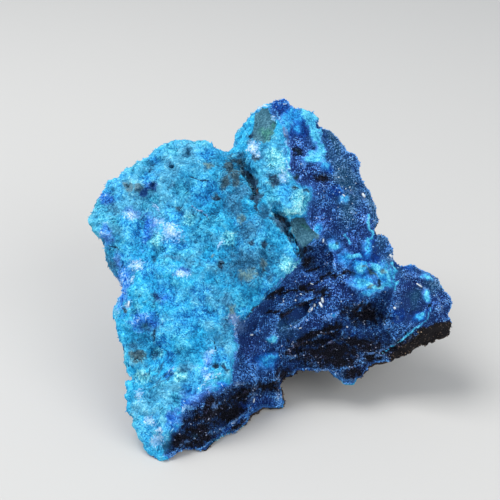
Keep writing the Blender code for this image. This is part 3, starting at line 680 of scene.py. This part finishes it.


# the last stop of each ramp is its palest tone, where the crystals' painted glints land
azurite = {
    "gleam": (0.50, 0.68, 1.0, 1),
    "light": [
        (0.0, (10, 82, 128)), (0.25, (25, 130, 183)), (0.5, (42, 164, 215)), (0.75, (60, 191, 236)),
        (1.0, (110, 221, 248)),
    ],
    "bright": [
        (0.0, (18, 80, 112)), (0.3, (50, 140, 176)), (0.5, (94, 192, 214)), (0.7, (138, 222, 232)),
        (1.0, (196, 244, 246)),
    ],
    "still": [
        (0.0, (26, 46, 92)), (0.35, (66, 106, 172)), (0.5, (100, 148, 216)), (0.65, (134, 180, 240)),
        (1.0, (186, 214, 246)),
    ],
    "frost": [
        (0.0, (40, 104, 136)), (0.25, (64, 142, 180)), (0.5, (86, 171, 207)), (0.75, (108, 194, 225)),
        (1.0, (158, 226, 240)),
    ],
    # darker teal of the painted shade
    "deepShade": [(0.0, (7, 48, 78)), (0.3, (17, 88, 132)), (0.6, (31, 126, 174)), (1.0, (68, 178, 218))],
    "duskShade": [(0.0, (28, 72, 136)), (0.5, (66, 124, 202)), (1.0, (120, 176, 236))],
    # dull teal of the painted shade
    "tealShade": [
        (0.0, (10, 62, 94)), (0.3, (24, 104, 146)), (0.5, (42, 138, 178)), (0.7, (74, 176, 208)),
        (1.0, (110, 206, 226)),
    ],
    "azure": [
        (0.0, (12, 68, 126)), (0.3, (24, 104, 172)), (0.5, (42, 146, 210)), (0.7, (70, 184, 232)),
        (1.0, (118, 220, 245)),
    ],
    "dark": [
        (0.0, (25, 51, 102)), (0.3, (63, 121, 192)), (0.5, (92, 162, 237)), (0.7, (115, 184, 247)),
        (0.9, (143, 203, 250)), (1.0, (200, 218, 247)),
    ],
    "violet": [
        (0.0, (25, 44, 96)), (0.35, (75, 125, 208)), (0.5, (103, 168, 248)), (0.65, (126, 188, 251)),
        (1.0, (206, 223, 249)),
    ],
    "slate": [
        (0.0, (26, 66, 102)), (0.35, (76, 126, 166)), (0.6, (108, 154, 198)), (0.88, (140, 180, 220)),
        (1.0, (216, 230, 241)),
    ],
    # near-black of the crust, used as painted shade as well
    "blackAndShade": [
        (0.0, (11, 9, 14)), (0.35, (22, 18, 27)), (0.5, (35, 31, 47)), (0.65, (52, 52, 82)),
        (0.85, (92, 98, 134)), (1.0, (165, 176, 204)),
    ],
    "cyan": [
        (0.0, (20, 84, 128)), (0.3, (44, 138, 186)), (0.5, (76, 182, 220)), (0.7, (112, 212, 238)),
        (1.0, (176, 238, 250)),
    ],
    "royal": [
        (0.0, (15, 50, 122)), (0.35, (30, 95, 187)), (0.5, (46, 124, 215)), (0.7, (78, 163, 237)),
        (1.0, (186, 219, 245)),
    ],
    "white": [(0.0, (84, 156, 214)), (0.5, (144, 196, 234)), (1.0, (232, 241, 250))],
    "pale": [(0.0, (62, 96, 146)), (0.55, (112, 148, 192)), (1.0, (200, 216, 230))],
    "grey": [(0.0, (30, 62, 78)), (0.5, (60, 106, 126)), (1.0, (100, 150, 168))],
    "green": [(0.0, (28, 70, 74)), (0.5, (56, 116, 116)), (1.0, (96, 166, 146))],
    "olive": [(0.0, (36, 70, 88)), (0.5, (84, 126, 140)), (1.0, (142, 172, 164))],
    "brown": [(0.0, (13, 31, 43)), (0.5, (42, 71, 87)), (1.0, (92, 120, 132))],
    "smudge": [(0.0, (14, 54, 84)), (0.5, (42, 102, 140)), (1.0, (86, 166, 208))],
    "umber": [(0.0, (12, 11, 18)), (0.5, (38, 31, 36)), (1.0, (96, 76, 70))],
    "matrix": [
        (0.0, (26, 22, 21)), (0.35, (56, 46, 38)), (0.55, (88, 72, 58)), (0.75, (126, 104, 84)),
        (1.0, (174, 148, 122)),
    ],
    "bud": [(0.0, (36, 70, 92)), (0.5, (78, 124, 146)), (1.0, (132, 166, 178))],
    "rust": [(0.0, (32, 28, 27)), (0.5, (86, 74, 66)), (1.0, (152, 134, 118))],
    # dark colour of the holes, partly painted shade
    "holeAndShade": [(0.0, (14, 30, 46)), (0.5, (34, 64, 90)), (1.0, (76, 120, 150))],
    "pit": [(0.0, (14, 44, 96)), (0.5, (36, 80, 140)), (1.0, (84, 138, 188))],
}
layers = [  # covering, softness of its edge and how far noise frays it, from the lowest to the uppermost
    ("frost", 0.45, 1.2), ("tealShade", 0.40, 1.4), ("deepShade", 0.45, 1.2), ("bright", 0.16, 1.4),
    ("dark", 0.12, 0.9), ("still", 0.40, 1.2), ("duskShade", 0.35, 1.4), ("slate", 0.40, 1.2),
    ("royal", 0.25, 1.6), ("violet", 0.40, 1.4), ("blackAndShade", 0.32, 1.6), ("umber", 0.40, 1.6),
    ("azure", 0.30, 1.4), ("smudge", 0.40, 1.6), ("cyan", 0.16, 1.4), ("olive", 0.30, 1.6),
    ("brown", 0.30, 1.2), ("grey", 0.10, 0.5), ("green", 0.35, 1.0), ("matrix", 0.12, 0.8),
    ("pit", 0.14, 0.3), ("bud", 0.16, 0.4), ("holeAndShade", 0.22, 0.8), ("rust", 0.30, 1.4),
    ("white", 0.24, 2.4), ("pale", 0.20, 2.0),
]
coveringNames = [name for name, _, _ in layers]
specked = ("white", "pale")  # coverings that finer noise frays
noises = {  # width in mm, detail, roughness and distortion
    "broad": (8.0, 2.0),
    "swell": (5.0, 1.0),
    "mottle": (2.6, 2.0),
    "tint": (1.6, 2.0),
    "fray": (1.3, 4.0, 0.7),
    "fleck": (1.0, 4.0, 0.7, 1.2),
    "relief": (0.75, 4.0, 0.65),
    "speck": (0.6, 3.0, 0.75),
    "fine": (0.42, 3.0, 0.6, 0.6),
}
lattices = {  # width in mm, stretch and turn of the flakes and cracks
    "slivers": (0.62, 2.6, (0.5, 0.3, 0.0)),
    "shards": (0.70, 2.2, (1.3, 1.0, 0.4)),
    "crumbs": (0.34, 1.5, (0.9, 0.2, 0.7)),
    "cracks": (1.6, 1.5, (0.4, 0.9, 0.2)),
    "veins": (0.85, 1.5, (1.1, 0.2, 0.8)),
}
grains = {  # how much each pattern lightens or darkens the tone; hollowShade is painted shade in hollows and painted highlight on ridges
    "light": {
        "broad": 0.45, "mottle": 0.30, "fleck": 0.78, "fine": 1.1, "slivers": 0.38, "hollowShade": -0.85,
        "strand": 0.9, "cracks": -0.44, "veins": 0.28,
    },
    "dark": {"broad": 0.6, "fleck": 0.9, "fine": 1.05, "crumbs": 0.45, "hollowShade": -0.75},
    "crystal": {"broad": 0.6, "tone": 1.0, "tint": 0.8, "hollowShade": -0.75},
}
finishes = {  # roughness, gloss, and height in mm and strength of the finest relief
    "azuriteSkin": (0.8, 0.14, 0.35, 0.9),
    "azuriteCrystal": (0.4, 0.3, 0, 0),
    "azuriteFibre": (0.6, 0.2, 0, 0),
}


class Nodes:
    # short names for the nodes of one material

    def __init__(self, name):
        self.material = bpy.data.materials.new(name)
        self.material.use_nodes = True
        self.tree = self.material.node_tree
        self.shader = self.tree.nodes["Principled BSDF"]
        self.place = self.add("ShaderNodeTexCoord").outputs["Object"]

    def add(self, kind, **settings):
        node = self.tree.nodes.new(kind)
        for setting, value in settings.items():
            setattr(node, setting, value)
        return node

    def feed(self, socket, value):
        if isinstance(value, bpy.types.NodeSocket):
            self.tree.links.new(value, socket)
        else:
            socket.default_value = value

    def noise(self, width, detail=3.0, roughness=0.6, distortion=0.0):
        node = self.add("ShaderNodeTexNoise")
        self.feed(node.inputs["Vector"], self.place)
        node.inputs["Scale"].default_value = 1 / (width * mm)
        node.inputs["Detail"].default_value = detail
        node.inputs["Roughness"].default_value = roughness
        node.inputs["Distortion"].default_value = distortion
        return node.outputs["Fac"]

    def bent(self, width, stretch, turn, bend, bendWidth):
        # turned places that noise bends, in units of the width
        warp = self.add("ShaderNodeTexNoise")
        self.feed(warp.inputs["Vector"], self.place)
        warp.inputs["Scale"].default_value = 1 / (bendWidth * mm)
        bent = self.add("ShaderNodeVectorMath", operation="MULTIPLY_ADD")
        self.feed(bent.inputs[0], warp.outputs["Color"])
        bent.inputs[1].default_value = (bend * mm,) * 3
        self.feed(bent.inputs[2], self.place)
        turned = self.add("ShaderNodeMapping")
        self.feed(turned.inputs["Vector"], bent.outputs["Vector"])
        turned.inputs["Rotation"].default_value = turn
        turned.inputs["Scale"].default_value = [1 / (width * mm * part) for part in (1, 1, stretch)]
        return turned.outputs["Vector"]

    def flakes(self, width, stretch, turn, bend=1.2, bendWidth=2.0):
        # one number for each long cell of a turned lattice that noise bends
        voronoi = self.add("ShaderNodeTexVoronoi")
        self.feed(voronoi.inputs["Vector"], self.bent(width, stretch, turn, bend, bendWidth))
        voronoi.inputs["Scale"].default_value = 1
        parts = self.add("ShaderNodeSeparateColor")
        self.feed(parts.inputs["Color"], voronoi.outputs["Color"])
        return parts.outputs["Red"]

    def cracks(self, width, stretch, turn, bend=1.2, bendWidth=2.0, breadth=0.16):
        # 1 along the bounds between the cells of a turned lattice that noise bends, and 0 off them
        voronoi = self.add("ShaderNodeTexVoronoi", feature="DISTANCE_TO_EDGE")
        self.feed(voronoi.inputs["Vector"], self.bent(width, stretch, turn, bend, bendWidth))
        voronoi.inputs["Scale"].default_value = 1
        near = self.add("ShaderNodeMapRange", interpolation_type="SMOOTHSTEP")
        self.feed(near.inputs["Value"], voronoi.outputs["Distance"])
        near.inputs["From Max"].default_value = breadth
        near.inputs["To Min"].default_value = 1
        near.inputs["To Max"].default_value = 0
        return near.outputs["Result"]

    def mask(self, name):
        # the piece's own attribute
        return self.add("ShaderNodeAttribute", attribute_name=name).outputs["Fac"]

    def sum(self, *parts):
        # one half, plus each value less one half, times its factor
        total = 0.5
        for value, factor in parts:
            node = self.add("ShaderNodeMath", operation="MULTIPLY_ADD")
            self.feed(node.inputs[0], value)
            node.inputs[1].default_value = factor
            shift = self.add("ShaderNodeMath", operation="SUBTRACT")
            self.feed(node.inputs[2], total)
            self.feed(shift.inputs[0], node.outputs[0])
            shift.inputs[1].default_value = 0.5 * factor
            total = shift.outputs[0]
        return total

    def ramp(self, value, stops):
        # the colour at a value, between stops of a place and a colour in 255ths
        node = self.add("ShaderNodeValToRGB")
        self.feed(node.inputs["Fac"], value)
        elements = node.color_ramp.elements
        while len(elements) < len(stops):
            elements.new(0.5)
        for element, (at, colour) in zip(elements, stops):
            element.position = at
            element.color = tone(*colour)
        return node.outputs["Color"]

    def edge(self, value, softness):
        # from 0 to 1 as the value passes one half, over twice the softness
        node = self.add("ShaderNodeMapRange", interpolation_type="SMOOTHSTEP")
        self.feed(node.inputs["Value"], value)
        node.inputs["From Min"].default_value = 0.5 - softness
        node.inputs["From Max"].default_value = 0.5 + softness
        return node.outputs["Result"]

    def within(self, share, mask, fading=0.3):
        # nothing of the share is left where the mask itself fades away
        reach = self.add("ShaderNodeMapRange")
        self.feed(reach.inputs["Value"], mask)
        reach.inputs["From Max"].default_value = fading
        node = self.add("ShaderNodeMath", operation="MULTIPLY")
        self.feed(node.inputs[0], share)
        self.feed(node.inputs[1], reach.outputs["Result"])
        return node.outputs[0]

    def blend(self, share, first, second):
        node = self.add("ShaderNodeMix", data_type="FLOAT")
        for socket, value in zip(node.inputs, (share, first, second)):
            self.feed(socket, value)
        return node.outputs[0]

    def mix(self, share, first, second):
        node = self.add("ShaderNodeMix", data_type="RGBA")
        self.feed(node.inputs["Factor"], share)
        self.feed(node.inputs[6], first)
        self.feed(node.inputs[7], second)
        return node.outputs[2]


def azuriteMaterial(name, grainOf):
    # colour: the light tone, then each covering over it
    made = Nodes(name)
    fray, speck = made.noise(*noises["fray"]), made.noise(*noises["speck"])
    grain = grainOf(made)
    colour = made.ramp(grain, azurite["light"])
    for covering, softness, fraying in layers:
        mask = made.mask(covering)
        ragged = speck if covering in specked else fray
        share = made.within(made.edge(made.sum((mask, 1.0), (ragged, fraying)), softness), mask)
        colour = made.mix(share, colour, made.ramp(grain, azurite[covering]))
    roughness, gloss, relief, strength = finishes[name]
    made.feed(made.shader.inputs["Base Color"], colour)
    made.shader.inputs["Roughness"].default_value = roughness
    made.shader.inputs["Specular IOR Level"].default_value = gloss
    made.shader.inputs["Specular Tint"].default_value = azurite["gleam"]
    if relief:
        bump = made.add("ShaderNodeBump")
        bump.inputs["Strength"].default_value = strength
        bump.inputs["Distance"].default_value = relief * mm
        made.feed(bump.inputs["Height"], made.noise(*noises["relief"]))
        made.feed(made.shader.inputs["Normal"], bump.outputs["Normal"])
    return made.material


def weighed(made, parts, kind):
    # the patterns summed with the factors of one kind of grain
    return made.sum(*((parts[name], factor) for name, factor in grains[kind].items()))


def skinGrain(made):
    # flat flakes and finer grains; the dark crust has smaller and stronger ones than the light face; painted
    # shade in hollows and painted highlight on ridges
    parts = {name: made.noise(*noises[name]) for name in ("broad", "mottle", "fleck", "fine")}
    parts.update({name: made.mask(name) for name in ("hollowShade", "strand")})
    parts.update({name: made.cracks(*lattices[name]) for name in ("cracks", "veins")})
    parts["crumbs"] = made.flakes(*lattices["crumbs"])
    slivers, shards = made.flakes(*lattices["slivers"]), made.flakes(*lattices["shards"])
    parts["slivers"] = made.blend(made.noise(*noises["swell"]), slivers, shards)
    return made.blend(made.mask("rough"), weighed(made, parts, "light"), weighed(made, parts, "dark"))


def crystalGrain(made):
    # each crystal has one tone of its own, a few of them painted glints, with painted shade where it stands
    # in a hollow
    parts = {name: made.noise(*noises[name]) for name in ("broad", "tint")}
    parts.update({name: made.mask(name) for name in ("hollowShade", "tone")})
    return weighed(made, parts, "crystal")


crystals = {
    "seed": 7,
    "buried": 0.42,  # share of the length inside the rock
    "stillness": 0.22,  # how much smaller and more alike the crystals of the smooth arm are
    "sparseness": 0.2,  # share by which fewer of them stand there
    "offMatrix": 0.8,  # share by which fewer stand on the bare matrix
    "lowest": 0.4,  # mm above the ground
    # painted glints: near-white tones standing in for sparkle
    "paintedGlintTones": (0.9, 1.2),
    "dark": {  # prisms of the dark crust
        "count": 30000,
        "bands": ("Lower", "Middle", "Upper"),
        "width": (0.15, 0.34),
        "slimness": (0.45, 0.9),
        "length": (0.30, 0.64),
        "stance": (1.0, 0.75),  # shares of upright and of sideways in their direction
        "tone": (0.35, 0.13),  # middle and spread of their tones
        "paintedGlints": (0.006, 0.05),  # share of painted glints, near-white tones standing in for sparkle, and how many more where the crust is speckled
    },
    "light": {  # fibres that lie on the light face
        "count": 6000,
        "bands": ("Lower", "Upper"),
        "width": (0.12, 0.22),
        "slimness": (0.6, 0.9),
        "length": (0.70, 1.70),
        "stance": (0.10, 1.0),
        "tone": (0.52, 0.20),
        "paintedGlints": (0.004, 0.20),
    },
    "fan": {"from": 0.35, "longer": 1.5, "stray": 0.45, "lift": 0.10},  # the fibres that spread from one root
}
placedCrystals = {
    "marks": [  # middle x and y, length and width in picture units, turn in degrees
        (309.7, 307.9, 6.4, 2.8, -42), (315, 305.4, 3.6, 2.2, -75), (320.7, 303.4, 5.8, 2.3, 62),
        (322.9, 299.8, 5.8, 2.4, 78), (311.4, 282.9, 3.6, 1.0, 20), (302, 293.6, 2.0, 1.3, 30),
        (296, 300, 1.8, 1.4, 80), (282.4, 300.7, 2.4, 1.2, 80), (252.6, 335.3, 3.8, 1.6, 15),
        (300.7, 328.6, 3.2, 1.3, 10), (324.3, 240.7, 4.6, 1.5, 75), (364.6, 195.5, 5.0, 2.4, 65),
        (420.7, 285.7, 7.0, 1.3, 35), (391.6, 256.6, 4.0, 2.4, 50), (344.5, 195, 3.4, 1.2, 60),
        (254.4, 401, 5.0, 1.6, 105), (395, 306.6, 2.6, 2.0, 40), (129.4, 305, 6.4, 1.5, 105),
        (348, 328, 2.0, 1.4, 30),
    ],
    "near": 1.6,  # picture units within which a mark finds the nearest point of the skin
    "rise": 0.45,  # share of the width that stands out of the skin
    "slimness": 0.8,
    "buried": 0.5,
    "tones": (0.55, 1.0),
    "roughness": 0.4,
    "colours": [(0.0, (92, 112, 132)), (1.0, (222, 232, 238))],
}
crystalCorners = np.array([  # a four-sided prism with a chisel end, one wide, deep and long
    (-0.4, -0.4, 0), (0.4, -0.4, 0), (0.4, 0.4, 0), (-0.4, 0.4, 0),
    (-0.5, -0.5, 0.72), (0.5, -0.5, 0.72), (0.5, 0.5, 0.72), (-0.5, 0.5, 0.72),
    (-0.3, 0, 1), (0.3, 0, 1),
])
crystalFaces = np.array([
    (3, 2, 1), (3, 1, 0), (0, 1, 5), (0, 5, 4), (1, 2, 6), (1, 6, 5), (2, 3, 7), (2, 7, 6),
    (3, 0, 4), (3, 4, 7), (4, 5, 9), (4, 9, 8), (6, 7, 8), (6, 8, 9), (5, 6, 9), (7, 4, 8),
])


def unit(vectors):
    # each vector over its own length
    return vectors / np.linalg.norm(vectors, axis=1)[:, None]


def prisms(roots, axes, turns, widths, depths, lengths, buried):
    # each crystal is its corners times width, depth and length, turned about its axis and set into its root
    side = unit(np.cross(axes, turns))
    front = np.cross(axes, side)
    sizes = np.column_stack((widths, depths, lengths))
    local = crystalCorners[None] * sizes[:, None]
    local[:, :, 2] -= (lengths * buried)[:, None]
    points = roots[:, None] + sum(
        local[:, :, n, None] * part[:, None] for n, part in enumerate((side, front, axes))
    )
    faces = crystalFaces[None] + np.arange(len(roots))[:, None, None] * len(crystalCorners)
    return points.reshape(-1, 3), faces.reshape(-1, 3)


def along(directions, normals):
    # directions in the picture laid into the skin: right and down of the camera, less the normal's part
    tilt = math.radians(camera["pitch"])
    right, down = np.array((1, 0, 0)), np.array((0, -math.sin(tilt), -math.cos(tilt)))
    flat = directions[:, :1] * right + directions[:, 1:] * down
    return unit(flat - (flat * normals).sum(axis=1)[:, None] * normals)


def makePlaced(name, points, normals, rng):
    # single crystals that lie where their marks meet the skin, each along its mark
    marks = np.array(placedCrystals["marks"])
    seen = seenAt(points * mm)
    away = np.linalg.norm(points * mm - camera["place"], axis=1)
    chosen = []
    for mark in marks:
        close = np.flatnonzero(np.hypot(*(seen - mark[:2]).T) < placedCrystals["near"])
        chosen.append(close[away[close].argmin()])
    unitSize = away[chosen] / mm / (camera["lens"] / camera["sensor"] * pictureSide)
    lengths, widths = marks[:, 2] * unitSize, marks[:, 3] * unitSize
    turns = np.radians(marks[:, 4])
    axes = along(np.column_stack((np.cos(turns), np.sin(turns))), normals[chosen])
    roots = points[chosen] + normals[chosen] * (widths * placedCrystals["rise"])[:, None]
    depths = widths * placedCrystals["slimness"]
    made, faces = prisms(roots, axes, normals[chosen], widths, depths, lengths, placedCrystals["buried"])
    piece = linked(name, newMesh(name, made * mm, faces))
    tones = rng.uniform(*placedCrystals["tones"], len(marks))
    keepMask(piece.data, "tone", np.repeat(tones, len(crystalCorners)))
    look = Nodes(name)
    look.feed(look.shader.inputs["Base Color"], look.ramp(look.mask("tone"), placedCrystals["colours"]))
    look.shader.inputs["Roughness"].default_value = placedCrystals["roughness"]
    piece.data.materials.append(look.material)
    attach(piece, "root")
    print(name, len(marks), "crystals")


def makeDruse(name, habit, roots, normals, masks, rng, material):
    # thousands of crystals: each axis is the normal plus a random direction in the skin, in the habit's
    # shares, or, within the fan, the way from the fan's root
    count = len(roots)
    upright, sideways = habit["stance"]
    flat = rng.uniform(-1, 1, (count, 3))
    flat -= (flat * normals).sum(axis=1)[:, None] * normals
    axes = unit(upright * normals + sideways * flat)
    size = 1 - crystals["stillness"] * grown(masks["still"], "full")
    widths = size * rng.uniform(*habit["width"], count)
    depths = widths * rng.uniform(*habit["slimness"], count)
    lengths = size * rng.uniform(*habit["length"], count)
    fan = crystals["fan"]
    combed = masks["fibre"] > fan["from"]
    fanned = along(seenAt(roots * mm) - fibreFan["root"], normals) + fan["stray"] * flat
    axes[combed] = unit(fanned + fan["lift"] * normals)[combed]
    lengths[combed] *= fan["longer"]
    turns = rng.normal(size=(count, 3))
    points, faces = prisms(roots, axes, turns, widths, depths, lengths, crystals["buried"])
    points[:, 2] = np.maximum(points[:, 2], 0)
    piece = linked(name, newMesh(name, points * mm, faces))
    each = len(crystalCorners)
    for mask in (*coveringNames, "hollowShade"):
        keepMask(piece.data, mask, np.repeat(masks[mask], each))
    middle, spread = habit["tone"]
    everywhere, speckled = habit["paintedGlints"]
    glintRange = crystals["paintedGlintTones"]
    # painted glints: a few crystals get near-white tones standing in for sparkle, more in the glintSpeckle
    # zones
    paintedGlints = rng.random(count) < everywhere * (2 * size - 1) + speckled * masks["glintSpeckle"]
    tones = np.clip(middle + size * spread * rng.normal(size=count), 0, glintRange[0])
    tones = np.where(paintedGlints, rng.uniform(*glintRange, count), tones)
    keepMask(piece.data, "tone", np.repeat(tones, each))
    piece.data.materials.append(material)
    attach(piece, "root")
    print(name, count, "crystals")


print("making the skin")
skinPiece, skinPoints, skinMasks = makeSkin()
skinPiece.data.materials.append(azuriteMaterial("azuriteSkin", skinGrain))
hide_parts("azurite_block")
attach(skinPiece, "root")

print("making the crystals")
drawn = np.random.default_rng(crystals["seed"])
skinNormals = meshArrays(skinPiece.data)[1]
offMatrix = 1 - crystals["offMatrix"] * grown(skinMasks["matrix"], "inner")
bare = 1 - grown(skinMasks["grey"], "patchInner")
bare *= (skinPoints[:, 2] > crystals["lowest"]) * offMatrix
thinned = 1 - crystals["sparseness"] * grown(skinMasks["still"], "full")
chances = {
    "dark": bare * grown(skinMasks["rough"], "crust") * thinned,
    "light": bare * grown(skinMasks["dark"], "crustless") * (1 - grown(skinMasks["holeAndShade"], "inner")),
}
looks = {
    "dark": azuriteMaterial("azuriteCrystal", crystalGrain),
    "light": azuriteMaterial("azuriteFibre", crystalGrain),
}
for kind, chance in chances.items():
    habit = crystals[kind]
    chosen = drawn.choice(len(skinPoints), habit["count"], replace=False, p=chance / chance.sum())
    chosen = chosen[skinPoints[chosen, 2].argsort()]
    for band, picked in zip(habit["bands"], np.array_split(chosen, len(habit["bands"]))):
        masks = {mask: values[picked] for mask, values in skinMasks.items()}
        name = kind + "Druse" + band
        makeDruse(name, habit, skinPoints[picked], skinNormals[picked], masks, drawn, looks[kind])
makePlaced("paleCrystals", skinPoints, skinNormals, drawn)

studio = {
    "floorSide": 4.0,
    "floorColour": (0.54, 0.53, 0.51, 1),
    "floorRoughness": 0.85,
    "worldColour": (0.86, 0.92, 1.0, 1),
    "worldStrength": 0.60,
    "lamps": {  # place, size in metres, watts
        "skyLamp": ((-0.34, 0.06, 0.68), 0.45, 4.8),
        "frontLamp": ((0.50, -0.50, 0.42), 0.6, 3.6),
    },
}


def makeStage():
    half = studio["floorSide"] / 2
    corners = np.array([(-half, -half, 0), (half, -half, 0), (half, half, 0), (-half, half, 0)])
    floor = linked("floor", newMesh("floor", corners, np.array([(0, 1, 2, 3)])))
    look = bpy.data.materials.new("paleFloor")
    look.use_nodes = True
    shader = look.node_tree.nodes["Principled BSDF"]
    shader.inputs["Base Color"].default_value = studio["floorColour"]
    shader.inputs["Roughness"].default_value = studio["floorRoughness"]
    floor.data.materials.append(look)
    world = bpy.data.worlds.new("studio")
    world.use_nodes = True
    sky = world.node_tree.nodes["Background"]
    sky.inputs["Color"].default_value = studio["worldColour"]
    sky.inputs["Strength"].default_value = studio["worldStrength"]
    bpy.context.scene.world = world
    for name, (place, size, watts) in studio["lamps"].items():
        lamp = bpy.data.lights.new(name, "AREA")
        lamp.size = size
        lamp.energy = watts
        holder = linked(name, lamp)
        holder.location = place
        holder.rotation_euler = (-holder.location).to_track_quat("-Z", "Y").to_euler()


def makeCamera():
    eye = bpy.data.cameras.new("camera")
    eye.lens = camera["lens"]
    eye.sensor_width = camera["sensor"]
    eye.clip_start = camera["near"]
    holder = linked("camera", eye)
    holder.location = camera["place"]
    holder.rotation_euler = (math.radians(90 - camera["pitch"]), 0, 0)
    bpy.context.scene.camera = holder


makeStage()
makeCamera()
bpy.context.scene.view_settings.view_transform = "Standard"
print("stage set")
